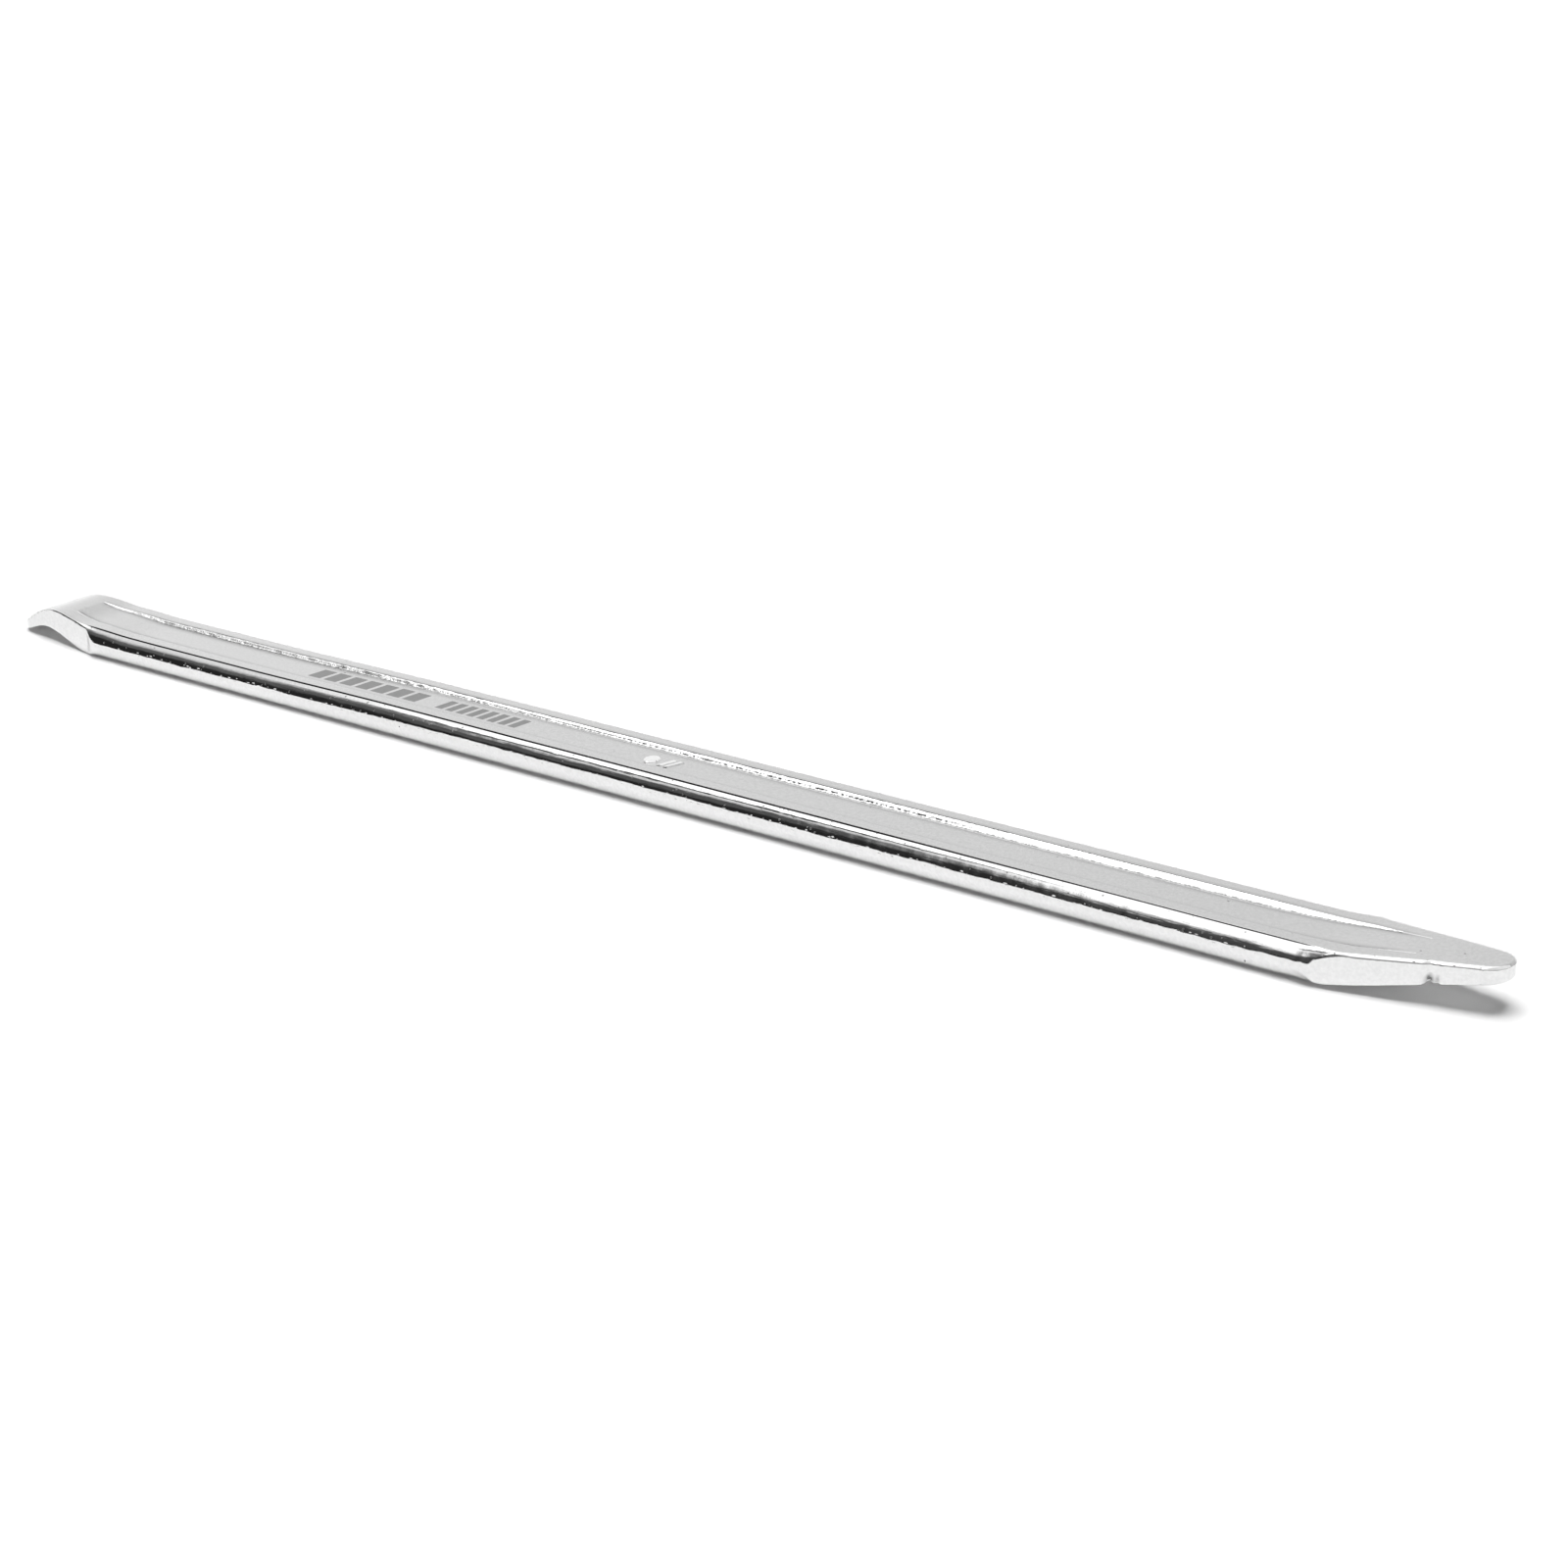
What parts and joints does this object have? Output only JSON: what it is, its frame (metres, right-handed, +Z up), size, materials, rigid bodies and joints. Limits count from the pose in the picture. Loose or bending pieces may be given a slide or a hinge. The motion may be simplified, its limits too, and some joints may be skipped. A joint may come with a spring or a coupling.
{
  "type": "tyre lever",
  "caption": "Drop-forged, chrome plated steel tyre lever with a hooked spoon end, a recessed flat shank and an upswept flat tip.",
  "frame": {"origin": "middle of the length, on the rest face under the shank", "axes": "+X from the spoon end towards the flat tip, +Y across the width, +Z up from the rest face to the recessed face"},
  "size_m": [0.305, 0.0174, 0.0077],
  "materials": {
    "chrome_plate": "satin chrome over a forged surface, brighter on the ground edges"
  },
  "bodies": {
    "root": {"forged_lever": "chrome_plate"}
  },
  "joints": []
}
